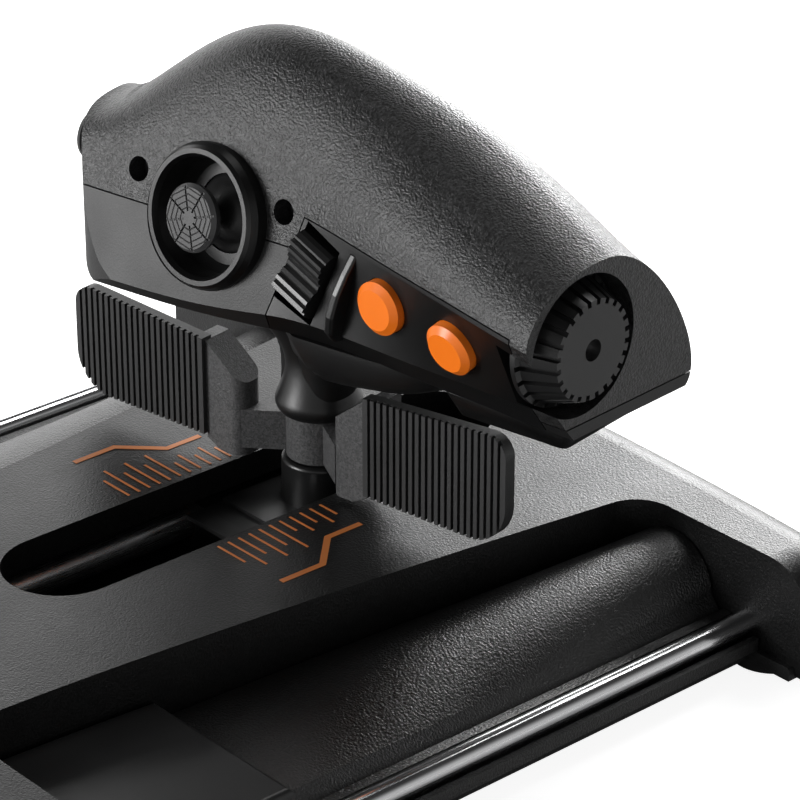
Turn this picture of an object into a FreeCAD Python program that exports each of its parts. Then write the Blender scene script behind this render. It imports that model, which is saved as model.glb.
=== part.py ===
import FreeCAD, Part
import math
import os

os.makedirs("parts", exist_ok=True)

# ---------------------------------------------------------------------------------------------
# Throttle quadrant: a sliding throttle on a low desk base.
# +X is the user's right, +Y points away from the user, +Z is up, and z = 0 is the table.
# The origin is under the middle of the base. Millimetres throughout.
# ---------------------------------------------------------------------------------------------

# Base
base_width = 165.0
base_length = 186.0
base_end_bow = 4.5            # how far the front and rear edges bow out at the middle
base_corner_radius = 12.0
base_edge_radius = 9.0        # large rounding along the top of the outer edges
deck_height = 22.2            # top of the deck above the table
cover_bottom = 2.6            # lower edge of the top cover above the table
cover_wall = 2.2
foot_height = 1.8              # gap between the table and the bottom plate
foot_radius = 7.0
bottom_plate_thickness = 2.4
fit_gap = 0.3                 # clearance between pieces that only stand near each other

# Recesses on both sides of the deck
recess_rear = 19.0 - base_length / 2      # the rear block is 19 mm deep
recess_front = base_length / 2 - 37.4     # the front block is 37.4 mm deep
deck_half_width_front = 29.6
deck_half_width_rear = 44.5
recess_corner_radius = 7.0
tray_floor_rear = 14.4        # inner edge of the tray panel above the table, at the rear
tray_floor_front = 10.4
shelf_rear = 20.0             # where the tray panel ends and the plain shelf begins
shelf_height = 14.2
tray_thickness = 2.0
lip_height = 8.6
side_rod_radius = 2.0
side_rod_x = base_width / 2 - 13.3
tray_outer = side_rod_x - 7.7      # outer edge of the textured panel
lip_inner = side_rod_x - 5.2
lip_outer = side_rod_x - 3.0
side_rod_height = 8.2
sill_outer = side_rod_x + 3.2      # outer edge of the low sill under the side rod
sill_height = 6.4

# Slot and slide
slot_half_width = 10.4
slide_travel = 80.0
slot_centre_y = -26.7
guide_rod_radius = 3.0
guide_rod_x = 16.8
guide_rod_height = 10.2
guide_rear = 5.0 - base_length / 2
guide_front = recess_front + 10.4
rod_fit = 0.04                # radial running clearance of shafts and rods
carriage_rear_reach = 15.0
carriage_front_reach = 17.0
carriage_half_width = 24.0
carriage_height = 9.6
bushing_radius = 4.4
bushing_length = 7.0
slot_cover_front_reach = 21.6
slot_cover_height = 14.2
slot_cover_thickness = 2.0

# Neck
neck_y = -40.8                # neck axis at rest
handle_yaw = 12.5             # the grip is turned this much for the left forearm
neck_radius = 3.6
flange_radius = 6.6
flange_thickness = 3.4
hub_bottom = 2.2              # heights in the handle are measured above the deck
hub_top = 10.2
saddle_radius = 7.4             # rim at the foot of the saddle
waist_radius = 5.8
saddle_top = 36.0             # runs up into the grip's underside
underside = 33.0
neck_top = 38.0

# Paddle rocker
pad_inner = 17.8
pad_outer = 47.6
pad_bottom = 3.4
pad_top = 23.4
pad_face = 9.7                # front of the pads, ahead of the neck axis
pad_thickness = 2.4
pad_rib_count = 22
pad_rib_depth = 0.7
pad_corner_radius = 7.5
pad_upper_radius = 3.5
pad_top_rise = 2.0            # the pads are this much taller at their outer end
arm_inner = 9.9
arm_top = 14.6
arm_bottom = 1.0
arm_thickness = 6.0
paddle_yaw = 8.8
hub_radius = 5.7

# Grip
grip_wall = 2.2
grip_thumb_end = 40.0
grip_pinky_end = -63.6        # measured at the knob's axis
grip_round_thumb = 15.0
grip_round_pinky = 4.0
part_line_height = 48.6
end_part_line_height = 33.0
seam_gap = 0.25
panel_edge_top = (-10.8, 54.1)      # thumb-side edge of the panel: along the grip, height
panel_edge_bottom = (-4.0, 33.0)
panel_end = -58.0
panel_seam_start = 54.0       # height of the panel's upper seam at its two ends
panel_seam_end = 50.2
panel_back = 9.0

# Small controls
ring_centre_u = 9.0
ring_centre_height = 49.6
ring_centre_v = 17.8
ring_yaw = 7.0
ring_tilt = 12.0
ring_base_radius = 12.2
ring_rim_radius = 11.3
ring_inner_radius = 9.9
ring_stand = 2.2
stick_pivot_depth = 10.0
dome_radius = 8.0
dome_half_angle = 66.0
cap_height = 4.0
stick_cap_radius = 5.7
stick_tilt = 14.0
button_radius = 4.5
button_travel = 0.8
knob_axis_v = 16.9
knob_axis_height = 46.2
knob_yaw = 8.0                # the pinky end and its knob face a little forwards
knob_rim_radius = 11.1
knob_face_radius = 8.3
knob_length = 7.0
knob_rim_thickness = 1.0
knob_stand = 2.0              # how far the knob's face stands out of the pinky end
knob_flutes = 24
knob_shaft_radius = 3.0
pocket_radius = knob_rim_radius + 0.6
pocket_depth = 7.4
front_buttons = ((-29.3, 45.3), (-44.3, 43.4))   # along the grip, height
key_top_place = (-15.0, 51.4)      # ends of the rocker key's long axis
key_bottom_place = (-10.4, 39.8)
guard_top_place = (-22.4, 51.2)    # ends of the guard fin beside the key
guard_bottom_place = (-19.2, 36.8)
key_half_width = 3.8
key_half_height = 6.2
key_radius = 8.0
key_stand = 2.6
key_ribs = 9
rocker_key_swing = 8.0

# Thumb side
thumb_plate = (-9.0, 11.6, 40.2, 57.2)     # y and height range of the face plate
thumb_plate_radius = 5.0
hats = (("upper", 5.2, 51.6, 4.6), ("lower", -4.4, 45.2, 3.8))      # name, y, height, cap radius
hat_tilt = 8.0
hat_pivot_depth = 6.5
thumb_button_place = (6.2, 43.6)
thumb_button_radius = 2.7

# Inside the base
foot_x = base_width / 2 - 13.0
foot_y = base_length / 2 - 13.0
insert_spacing_x = 100.0
insert_spacing_y = base_length - 22.0
insert_bore = 2.5             # M6 thread core
insert_radius = 4.5
insert_height = 8.0
tension_y = -20.0
tension_knob_radius = 9.0
tension_knob_gap = 0.6
foot_recess = 0.8
strip_thickness = 0.8
screw_head_radius = 2.6
screw_radius = 1.5
screw_length = 12.0
screw_x = 33.0
middle_screw_x = 24.0
boss_radius = 3.0
board_thickness = 1.6
board_half_width = 40.0
board_rear = recess_front + 11.4
ballast_top = 15.0
usb_socket_x = -14.0
jack_socket_x = 14.0
socket_height = 11.0

floor_height = foot_height + bottom_plate_thickness     # top of the bottom plate


# ---------------------------------------------------------------------------------------------
# Helpers
# ---------------------------------------------------------------------------------------------

def vec(x, y, z=0.0):
    return FreeCAD.Vector(x, y, z)


def block(x0, x1, y0, y1, z0, z1):
    return Part.makeBox(x1 - x0, y1 - y0, z1 - z0, vec(x0, y0, z0))


def rod(radius, start, end):
    axis = end - start
    return Part.makeCylinder(radius, axis.Length, start, axis)


def tube(outer, inner, start, end):
    return rod(outer, start, end).cut(rod(inner, start, end))


def prism(points, height):
    """Closed polygon of points, swept along the vector height."""
    return Part.Face(Part.makePolygon(points + [points[0]])).extrude(height)


def round_edges(shape, radius, chosen):
    edges = [edge for edge in shape.Edges if chosen(edge)]
    return shape.makeFillet(radius, edges) if edges else shape


def upright(edge):
    ends = edge.Vertexes
    return len(ends) == 2 and abs(ends[0].Z - ends[1].Z) > 0.5 and \
        math.hypot(ends[0].X - ends[1].X, ends[0].Y - ends[1].Y) < 0.01


def at_height(edge, height):
    box = edge.BoundBox
    return abs(box.ZMin - height) < 0.01 and abs(box.ZMax - height) < 0.01


def mirrored(shape):
    return shape.mirror(vec(0, 0, 0), vec(1, 0, 0))


def fused(shapes):
    result = shapes[0]
    for shape in shapes[1:]:
        result = result.fuse(shape)
    return result.removeSplitter()


def largest(shape):
    """The one real piece, without slivers left by a boolean cut."""
    return max(shape.Solids, key=lambda solid: solid.Volume)


def cut_all(shape, tools):
    for tool in tools:
        shape = shape.cut(tool)
    return shape


def ring_of(count, centre, axis, start, make_one):
    """Copies of one shape, evenly spaced about an axis."""
    copies = []
    for index in range(count):
        copy = make_one()
        copy.rotate(centre, axis, start + 360.0 * index / count)
        copies.append(copy)
    return copies


def in_handle(shape):
    """Take a shape from the handle's own axes to its place on the base."""
    placed = shape.copy()
    placed.rotate(vec(0, 0, 0), vec(0, 0, 1), handle_yaw)
    placed.translate(vec(0, neck_y, deck_height))
    return placed


def save(name, shape):
    solids = shape.Solids
    if not solids or not all(solid.isValid() for solid in solids):
        print("check", name, "solids", len(solids))
    whole = solids[0] if len(solids) == 1 else Part.makeCompound(solids)
    whole.exportStep("parts/" + name + ".step")
    print(name, len(solids), "volume", round(whole.Volume, 1))


# ---------------------------------------------------------------------------------------------
# Base
# ---------------------------------------------------------------------------------------------

def base_outline(inset, z):
    half = base_width / 2 - inset
    end = base_length / 2 - inset
    shoulder = end - base_end_bow
    edges = [
        Part.LineSegment(vec(half, -shoulder, z), vec(half, shoulder, z)).toShape(),
        Part.Arc(vec(half, shoulder, z), vec(0, end, z), vec(-half, shoulder, z)).toShape(),
        Part.LineSegment(vec(-half, shoulder, z), vec(-half, -shoulder, z)).toShape(),
        Part.Arc(vec(-half, -shoulder, z), vec(0, -end, z), vec(half, -shoulder, z)).toShape(),
    ]
    return Part.Wire(edges)


def base_form(inset, low, high, edge_radius):
    form = Part.Face(base_outline(inset, low)).extrude(vec(0, 0, high - low))
    form = round_edges(form, base_corner_radius - inset, upright)
    return round_edges(form, edge_radius, lambda edge: at_height(edge, high))


def deck_half_width(y):
    share = min(max((y - recess_front) / (recess_rear - recess_front), 0.0), 1.0)
    return deck_half_width_front + (deck_half_width_rear - deck_half_width_front) * share ** 1.4


def deck_edge_points(offset, z):
    steps = 6
    ys = [recess_front + (recess_rear - recess_front) * i / steps for i in range(steps + 1)]
    return [vec(deck_half_width(y) + offset, y, z) for y in ys]


def recess(offset, low, high):
    """Space of the right-hand recess, grown by offset, between two heights."""
    points = deck_edge_points(-offset, low)
    points[0].y = recess_front + offset
    points[-1].y = recess_rear - offset
    curve = Part.BSplineCurve()
    curve.interpolate(points)
    outside = base_width / 2 + 5
    wall = curve.toShape()
    corners = [points[-1], vec(outside, points[-1].y, low), vec(outside, points[0].y, low), points[0]]
    edges = [wall] + [Part.LineSegment(a, b).toShape() for a, b in zip(corners, corners[1:])]
    space = Part.Face(Part.Wire(edges)).extrude(vec(0, 0, high - low))
    radius = max(recess_corner_radius + offset, 0.5)
    return round_edges(space, radius, lambda edge: upright(edge) and edge.BoundBox.XMax < outside - 1)


def slot_form(margin, low, high):
    half = slot_half_width + margin
    reach = slide_travel / 2
    rounds = [rod(half, vec(0, slot_centre_y + side * reach, low), vec(0, slot_centre_y + side * reach, high))
              for side in (-1, 1)]
    return fused([block(-half, half, slot_centre_y - reach, slot_centre_y + reach, low, high)] + rounds)


def make_base_top_cover():
    outer = base_form(0, cover_bottom, deck_height, base_edge_radius)
    hollow = base_form(cover_wall, cover_bottom - 1, deck_height - cover_wall, base_edge_radius - cover_wall)
    side = recess(cover_wall, cover_bottom - 1, deck_height - cover_wall)
    hollow = cut_all(hollow, [side, mirrored(side)])
    open_side = recess(0, cover_bottom - 1, deck_height + 1)
    cover = cut_all(outer, [hollow, open_side, mirrored(open_side), slot_form(0, 0, deck_height + 1)])
    rim = slot_form(cover_wall * 0.8, deck_height - 5.0, deck_height - 0.5)
    cover = cover.fuse(rim.cut(slot_form(0, 0, deck_height + 1))).removeSplitter()
    bosses = [rod(boss_radius, vec(x, y, floor_height), vec(x, y, deck_height - cover_wall / 2))
              for x, y in screw_places()]
    cover = cover.fuse(bosses).removeSplitter()
    tools = [base_form(cover_wall, 0, floor_height, 0.4)]
    tools += [rod(side_rod_radius, vec(side * side_rod_x, recess_rear - 3, side_rod_height),
                  vec(side * side_rod_x, recess_front + 3, side_rod_height)) for side in (-1, 1)]
    tools += [rod(screw_radius, vec(x, y, 0), vec(x, y, foot_height + screw_length + 1))
              for x, y in screw_places()]
    return cut_all(cover, tools + socket_spaces(fit_gap))


def screw_places():
    corners = [(sx * screw_x, sy * (base_length / 2 - 8.5)) for sx in (-1, 1) for sy in (-1, 1)]
    return corners + [(sx * middle_screw_x, recess_front - 10.6) for sx in (-1, 1)]


def make_bottom_plate():
    plate = base_form(cover_wall + fit_gap, foot_height, foot_height + bottom_plate_thickness, 0.6)
    tools = [tube_hole(x, y) for x, y in foot_places()]
    tools += [rod(insert_radius, vec(x, y, 0), vec(x, y, 20)) for x, y in insert_places()]
    tools.append(rod(tension_knob_radius + 1.0, vec(0, tension_y, 0), vec(0, tension_y, 20)))
    tools += [block(sill_outer - 1.9, base_width, recess_rear + 1, recess_front - 1, 0, 20)]
    tools += [mirrored(tools[-1])]
    for x, y in screw_places():
        tools.append(rod(screw_radius, vec(x, y, 0), vec(x, y, 20)))
        tools.append(rod(screw_head_radius, vec(x, y, 0), vec(x, y, foot_height + 1.6)))
    posts = [rod(2.2, vec(x, y, floor_height - 0.5), vec(x, y, board_height)) for x, y in board_posts()]
    return cut_all(plate.fuse(posts).removeSplitter(), tools)


board_height = floor_height + 1.6


def board_posts():
    return [(sx * (board_half_width - 4), board_rear + y) for sx in (-1, 1) for y in (2.5, 6.5)]


def make_main_board():
    return block(-board_half_width, board_half_width, board_rear, board_rear + 9.0, board_height,
                 board_height + board_thickness)


def make_rubber_feet():
    return Part.makeCompound([rod(foot_radius, vec(x, y, 0), vec(x, y, foot_height + foot_recess))
                              for x, y in foot_places()])


def make_threaded_inserts():
    return Part.makeCompound([tube(insert_radius, insert_bore, vec(x, y, foot_height),
                                   vec(x, y, foot_height + insert_height)) for x, y in insert_places()])


def make_case_screws():
    screws = []
    for x, y in screw_places():
        head = rod(screw_head_radius, vec(x, y, foot_height), vec(x, y, foot_height + 1.6))
        shank = rod(screw_radius, vec(x, y, foot_height), vec(x, y, foot_height + screw_length))
        screws.append(head.fuse(shank).cut(rod(1.1, vec(x, y, foot_height), vec(x, y, foot_height + 1.0))))
    return Part.makeCompound(screws)


def make_ballast():
    centre, rear = base_width / 2 - 21.5, recess_front + 8.9
    bars = [block(side * centre - 13, side * centre + 13, rear, rear + 10, floor_height, ballast_top)
            for side in (-1, 1)]
    return Part.makeCompound(bars)


def make_tension_screw():
    """Knurled screw under the base that sets how stiffly the throttle slides."""
    low, high = tension_knob_gap, floor_height - 0.6
    knob = rod(tension_knob_radius, vec(0, tension_y, low), vec(0, tension_y, high))
    notches = ring_of(24, vec(0, tension_y, 0), vec(0, 0, 1), 0,
                      lambda: rod(0.7, vec(tension_knob_radius + 0.2, tension_y, 0),
                                  vec(tension_knob_radius + 0.2, tension_y, 6)))
    knob = knob.cut(Part.makeCompound(notches))
    knob = knob.cut(block(-6, 6, tension_y - 0.8, tension_y + 0.8, low, low + 1.2))
    return knob.fuse(rod(2.0, vec(0, tension_y, high - 1), vec(0, tension_y, floor_height - fit_gap)))


def make_brake_strip():
    """Friction strip under the carriage, bridging the tension screw's hole."""
    return block(-12.5, 12.5, tension_y - 24, tension_y + 24, floor_height, floor_height + strip_thickness)


def make_slide_sensor():
    return block(-23.5, -19.5, recess_rear - 2, recess_front - 17.6, floor_height,
                 floor_height + strip_thickness)


def foot_places():
    return [(sx * foot_x, sy * foot_y) for sx in (-1, 1) for sy in (-1, 1)]


def insert_places():
    return [(sx * insert_spacing_x / 2, sy * insert_spacing_y / 2) for sx in (-1, 1) for sy in (-1, 1)]


def tube_hole(x, y):
    return rod(foot_radius + 0.2, vec(x, y, 0), vec(x, y, foot_height + foot_recess))


def socket_spaces(margin):
    """Space taken by the two sockets in the front end of the base."""
    front = base_length / 2
    spaces = []
    for x, half, tall in ((usb_socket_x, 6.0, 5.6), (jack_socket_x, 7.0, 6.8)):
        spaces.append(block(x - half - margin, x + half + margin, front - 16 - margin, front + 2,
                            socket_height - tall - margin, socket_height + tall + margin))
    return spaces


def make_socket(x, half, tall, hole_half, hole_tall, tongue):
    front = base_length / 2 - 0.6
    shell = block(x - half, x + half, front - 15, front, socket_height - tall, socket_height + tall)
    hole = block(x - hole_half, x + hole_half, front - 11, front + 1,
                 socket_height - hole_tall, socket_height + hole_tall)
    shell = shell.cut(hole)
    if tongue:
        shell = shell.fuse(block(x - 2.8, x + 2.8, front - 12, front - 1.5, socket_height + 1.0,
                                 socket_height + 3.0))
    return shell


def tray_height(y):
    share = (y - recess_rear) / (shelf_rear - recess_rear)
    return tray_floor_rear + (tray_floor_front - tray_floor_rear) * share


def tray_section(y):
    """Section of the right-hand tray: bulged panel, step, lip, rod channel and sill."""
    inner = deck_half_width(y) + fit_gap
    floor = tray_height(y)
    crown = vec((inner + tray_outer) / 2 + 6, y, floor + 1.4)
    edge = vec(tray_outer, y, lip_height + 1.6)
    top = Part.Arc(vec(inner, y, floor), crown, edge).toShape()
    step = vec(lip_inner, y, lip_height - 1.6)
    channel = side_rod_height - side_rod_radius - 0.8
    corners = [edge, step, vec(lip_inner + 0.3, y, lip_height), vec(lip_outer, y, lip_height),
               vec(lip_outer, y, channel), vec(sill_outer - 1.2, y, channel),
               vec(sill_outer - 1.2, y, sill_height), vec(sill_outer, y, sill_height),
               vec(sill_outer, y, floor_height), vec(inner, y, floor_height), vec(inner, y, floor)]
    return Part.Wire([top] + [Part.LineSegment(a, b).toShape() for a, b in zip(corners, corners[1:])])


def make_side_tray():
    rear = recess_rear + fit_gap
    middle = (recess_rear + shelf_rear) / 2
    front = shelf_rear
    tray = Part.makeLoft([tray_section(rear), tray_section(middle), tray_section(front)], True, False)
    inner = deck_half_width(front) + 4
    hollow = block(inner + 8, tray_outer - 3, rear + 3, front - 3, 0, lip_height - 0.5)
    return tray.cut(hollow).common(recess(-fit_gap, 0, deck_height))


def make_front_shelf():
    low = floor_height
    form = recess(-fit_gap, low - 1, shelf_height + 1)
    shelf = block(deck_half_width_front - 2, sill_outer, shelf_rear + fit_gap, recess_front,
                  low, shelf_height).common(form)
    channel = block(lip_outer, sill_outer + 1, shelf_rear, recess_front,
                    side_rod_height - side_rod_radius - 0.8, shelf_height + 1)
    shelf = shelf.cut(channel)
    return round_edges(shelf, 1.2, lambda edge: at_height(edge, shelf_height))


def make_side_rod():
    return rod(side_rod_radius, vec(side_rod_x, recess_rear - 6, side_rod_height),
               vec(side_rod_x, recess_front + 6, side_rod_height))


def rod_clip(y):
    clip = block(side_rod_x - 4.5, side_rod_x + 4.5, y - 2.5, y + 2.5, side_rod_height - 4, side_rod_height + 4)
    return clip.cut(rod(side_rod_radius, vec(side_rod_x, y - 5, side_rod_height),
                        vec(side_rod_x, y + 5, side_rod_height)))


def make_guide_rod(side):
    return rod(guide_rod_radius, vec(side * guide_rod_x, guide_rear, guide_rod_height),
               vec(side * guide_rod_x, guide_front, guide_rod_height))


def make_rod_saddle(y):
    low = foot_height + bottom_plate_thickness
    half = guide_rod_x + 7
    body = block(-half, half, y - 2.5, y + 2.5, low, guide_rod_height + 5.0)
    body = body.cut(block(-guide_rod_x + 6, guide_rod_x - 6, y - 4, y + 4, low + 3, guide_rod_height + 6))
    bores = [rod(guide_rod_radius, vec(side * guide_rod_x, y - 5, guide_rod_height),
                 vec(side * guide_rod_x, y + 5, guide_rod_height)) for side in (-1, 1)]
    return cut_all(body, bores)


# ---------------------------------------------------------------------------------------------
# Carriage and neck
# ---------------------------------------------------------------------------------------------

def bushing_places():
    return [(side * guide_rod_x, neck_y + y) for side in (-1, 1)
            for y in (-carriage_rear_reach + 0.5, carriage_front_reach - bushing_length - 0.5)]


def make_carriage_block():
    low = guide_rod_height - carriage_height / 2
    high = guide_rod_height + carriage_height / 2
    body = block(-carriage_half_width, carriage_half_width, neck_y - carriage_rear_reach,
                 neck_y + carriage_front_reach, low, high)
    body = round_edges(body, 3.0, upright)
    for side in (-1, 1):
        passage = rod(guide_rod_radius + 0.5, vec(side * guide_rod_x, neck_y - 40, guide_rod_height),
                      vec(side * guide_rod_x, neck_y + 40, guide_rod_height))
        body = body.cut(passage)
    for x, y in bushing_places():
        body = body.cut(rod(bushing_radius, vec(x, y, guide_rod_height),
                            vec(x, y + bushing_length, guide_rod_height)))
    return body.cut(rod(neck_radius, vec(0, neck_y, 0), vec(0, neck_y, 40)))


def make_slide_bushings():
    return Part.makeCompound([tube(bushing_radius, guide_rod_radius + rod_fit, vec(x, y, guide_rod_height),
                                   vec(x, y + bushing_length, guide_rod_height))
                              for x, y in bushing_places()])


def make_slot_cover():
    half = slot_half_width - fit_gap * 2
    low = guide_rod_height + carriage_height / 2
    front = neck_y + slot_cover_front_reach
    rear = neck_y - carriage_rear_reach
    top = slot_cover_height + slot_cover_thickness
    bevel = 4.0
    outline = [vec(-half, rear, low), vec(-half, front, low), vec(-half, front, low + 0.8),
               vec(-half, front - bevel, top - 0.6), vec(-half, front - bevel - 4, top - 0.6),
               vec(-half, front - bevel - 4, top), vec(-half, rear, top)]
    cover = prism(outline, vec(2 * half, 0, 0))
    return cover.cut(rod(neck_radius, vec(0, neck_y, 0), vec(0, neck_y, 40)))


def make_neck_flange():
    low = slot_cover_height + slot_cover_thickness - deck_height
    high = hub_bottom - fit_gap
    ring = tube(flange_radius, neck_radius, vec(0, 0, low), vec(0, 0, high))
    return in_handle(round_edges(ring, 0.8, lambda edge: at_height(edge, high)
                                 and edge.BoundBox.XMax > flange_radius - 0.1))


def make_neck_tube():
    low = guide_rod_height - carriage_height / 2 - deck_height
    return in_handle(tube(neck_radius, neck_radius - 1.4, vec(0, 0, low), vec(0, 0, neck_top)))


def make_neck_saddle():
    """Flared seat between the neck and the underside of the grip."""
    low = hub_top + fit_gap
    foot = vec(saddle_radius - 1.0, 0, low)
    shoulder = vec(saddle_radius - 0.1, 0, low + 3.0)
    rim = Part.Arc(foot, vec(saddle_radius, 0, low + 1.4), shoulder).toShape()
    flare = Part.BSplineCurve()
    flare.interpolate([shoulder, vec(waist_radius + 0.3, 0, low + 6.6), vec(waist_radius, 0, low + 9.8),
                       vec(waist_radius + 0.7, 0, low + 12.4), vec(waist_radius + 2.1, 0, low + 15.0),
                       vec(waist_radius + 5.6, 0, low + 19.4), vec(waist_radius + 9.6, 0, saddle_top)])
    closing = [vec(waist_radius + 9.6, 0, saddle_top), vec(neck_radius, 0, saddle_top),
               vec(neck_radius, 0, low), foot]
    edges = [rim, flare.toShape()]
    edges += [Part.LineSegment(a, b).toShape() for a, b in zip(closing, closing[1:])]
    return Part.Face(Part.Wire(Part.__sortEdges__(edges))).revolve(vec(0, 0, 0), vec(0, 0, 1), 360)


def make_neck_nut():
    return in_handle(tube(neck_radius + 3.0, neck_radius, vec(0, 0, underside + grip_wall + 0.8), vec(0, 0, neck_top)))


# ---------------------------------------------------------------------------------------------
# Paddle rocker: two ribbed pads on arms, turning about the neck
# ---------------------------------------------------------------------------------------------

def on_paddle(shape):
    placed = shape.copy()
    placed.rotate(vec(0, 0, 0), vec(0, 0, 1), paddle_yaw)
    placed.translate(vec(0, neck_y, deck_height))
    return placed


def make_pad():
    """Right-hand pad: a plate with rounded outer corners and upright ribs."""
    back = pad_face - pad_thickness
    corners = [vec(pad_inner, back, pad_bottom), vec(pad_outer, back, pad_bottom),
               vec(pad_outer, back, pad_top), vec(pad_inner, back, pad_top - pad_top_rise)]
    plate = prism(corners, vec(0, pad_thickness, 0))
    plate = round_edges(plate, pad_corner_radius, lambda e: along_y_at(e, pad_outer, pad_bottom))
    plate = round_edges(plate, pad_upper_radius, lambda e: along_y_at(e, pad_outer, pad_top))
    pitch = (pad_outer - pad_inner) / pad_rib_count
    for index in range(1, pad_rib_count):
        middle = pad_inner + pitch * index
        plate = plate.cut(block(middle - pitch * 0.22, middle + pitch * 0.22, pad_face - pad_rib_depth,
                                pad_face + 1, pad_bottom - 2, pad_top + 2))
    return plate


def along_y_at(edge, x, z):
    box = edge.BoundBox
    return box.YLength > 1 and abs(box.XMin - x) < 0.01 and abs(box.XMax - x) < 0.01 and \
        abs(box.ZMin - z) < 0.01 and abs(box.ZMax - z) < 0.01


def make_arm():
    """Right-hand arm: carries the pad and slopes down to the hub."""
    face = pad_face - 0.9
    back = face - arm_thickness
    overlap = pad_inner + 2.6
    top = pad_top - pad_top_rise - 0.6
    corners = [vec(overlap, back, top), vec(pad_inner, back, top), vec(arm_inner, back, arm_top),
               vec(arm_inner, back, arm_bottom), vec(pad_inner - 3, back, arm_bottom),
               vec(overlap, back, pad_bottom + 0.5)]
    arm = prism(corners, vec(0, arm_thickness, 0))
    arm = round_edges(arm, 2.4, lambda e: e.BoundBox.ZLength > 4 and abs(e.BoundBox.XMax - arm_inner) < 0.01)
    arm = arm.cut(block(pad_inner, overlap + 1, pad_face - pad_thickness, pad_face + 1, -10, 40))
    low, high = hub_bottom + 0.4, hub_top - 0.4
    plan = [(arm_inner + 0.6, face - 0.6), (arm_inner + 0.6, back), (hub_radius - 1.6, -3.4), (0, 0),
            (hub_radius - 2.0, 3.6)]
    web = prism([vec(x, y, low) for x, y in plan], vec(0, 0, high - low))
    return arm.fuse(web)


def make_paddle_carrier():
    hub = rod(hub_radius, vec(0, 0, hub_bottom), vec(0, 0, hub_top))
    arm = make_arm()
    whole = fused([hub, arm, mirrored(arm)])
    return on_paddle(whole.cut(rod(neck_radius + rod_fit, vec(0, 0, -5), vec(0, 0, 30))))


# ---------------------------------------------------------------------------------------------
# Grip, in the handle's axes: x towards the thumb, y ahead, z above the deck
# Each station: x, bottom; then places and heights of toe, knee, nose, top and heel
grip_stations = (
    (42.0, 33.0, 20.2, 21.8, 35.0, 15.0, 55.0, 2.0, 60.5, -15.0, 44.0),
    (32.0, 33.0, 20.2, 21.8, 35.0, 15.4, 56.0, 1.5, 63.4, -17.0, 46.0),
    (20.0, 33.0, 20.2, 21.8, 35.2, 15.6, 57.0, 0.5, 72.4, -19.0, 48.0),
    (8.0, 33.0, 19.6, 21.5, 35.6, 15.8, 57.0, 0.0, 77.2, -20.0, 50.0),
    (-9.0, 33.0, 17.2, 20.4, 37.2, 17.0, 54.0, 0.5, 75.8, -20.0, 49.0),
    (-28.0, 32.0, 16.8, 20.8, 36.8, 21.5, 52.0, 2.0, 71.2, -18.5, 46.0),
    (-46.0, 31.0, 17.4, 21.7, 36.3, 26.0, 50.5, 5.5, 65.4, -16.0, 42.0),
    (-60.0, 30.8, 18.4, 22.4, 36.0, 29.4, 49.4, 10.5, 60.6, -13.0, 37.0),
    (-72.0, 30.8, 18.6, 22.6, 36.0, 31.0, 49.0, 13.0, 57.0, -11.5, 35.0),
)
grip_shoulder_height = 61.5   # top of the rim at the thumb end


def bezier(points):
    curve = Part.BezierCurve()
    curve.setPoles(points)
    return curve.toShape()


def grip_section(station, inset):
    """Chamfer under the finger face, the face, front and back of the crown, underside."""
    x, bottom, toe, knee, knee_z, nose, nose_z, top, top_z, heel, heel_z = station
    bottom += inset
    toe -= inset
    knee -= inset
    nose -= inset
    top_z -= inset
    heel += inset
    foot = heel + 4.0
    toe_point, knee_point, nose_point = vec(x, toe, bottom), vec(x, knee, knee_z), vec(x, nose, nose_z)
    top_point, foot_point = vec(x, top, top_z), vec(x, foot, bottom)
    rise = top_z - nose_z
    lean = (nose - knee) / (nose_z - knee_z) if nose < knee else 0.0
    front = bezier([nose_point, vec(x, nose + lean * rise * 0.5, nose_z + rise * 0.5),
                    vec(x, top + (nose - top) * 0.55, top_z), top_point])
    back = bezier([top_point, vec(x, top + (heel - top) * 0.55, top_z),
                   vec(x, heel - 1.5, heel_z), foot_point])
    lines = [Part.LineSegment(a, b).toShape() for a, b in ((toe_point, knee_point), (knee_point, nose_point),
                                                           (foot_point, toe_point))]
    return Part.Wire([lines[0], lines[1], front, back, lines[2]])


def at_pinky_end(shape):
    """Turn a shape made about +Z so that it stands on the pinky end, +Z pointing out along the knob's axis."""
    yaw = math.radians(knob_yaw)
    direction = vec(-math.cos(yaw), math.sin(yaw), 0)
    return aim(shape, vec(grip_pinky_end, knob_axis_v, knob_axis_height), direction)


def aim(shape, origin, direction):
    turn = FreeCAD.Rotation(vec(0, 0, 1), direction)
    return shape.transformed(FreeCAD.Placement(origin, turn).toMatrix(), True)


def grip_form(inset):
    """The grip's outer form, shrunk by inset."""
    body = Part.makeLoft([grip_section(station, inset) for station in grip_stations], True, False)
    thumb = grip_thumb_end - inset
    plan = prism([vec(-90, -40, 0), vec(thumb - 16, -20, 0), vec(thumb, -15 + inset, 0),
                  vec(thumb, 19 - inset, 0), vec(thumb - 24, 24, 0), vec(-90, 60, 0)], vec(0, 0, 100))
    plan = round_edges(plan, grip_round_thumb, lambda e: upright(e) and e.BoundBox.XMin > thumb - 1)
    shoulder = grip_shoulder_height - inset
    side = prism([vec(-90, -40, 20), vec(thumb, -40, 20), vec(thumb, -40, shoulder),
                  vec(thumb - 8, -40, shoulder), vec(thumb - 8, -40, 100), vec(-90, -40, 100)],
                 vec(0, 100, 0))
    side = side.cut(corner_tool(thumb, 33.0 + inset, 9.0))
    beyond = at_pinky_end(block(-90, 90, -90, 90, -inset, 60))
    return body.common(plan).common(side).cut(beyond)


def corner_tool(x, z, radius):
    """What a rounded lower thumb-end corner takes away."""
    return block(x - radius, x + 1, -50, 50, z - 20, z + radius).cut(
        rod(radius, vec(x - radius, -51, z + radius), vec(x - radius, 51, z + radius)))


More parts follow.
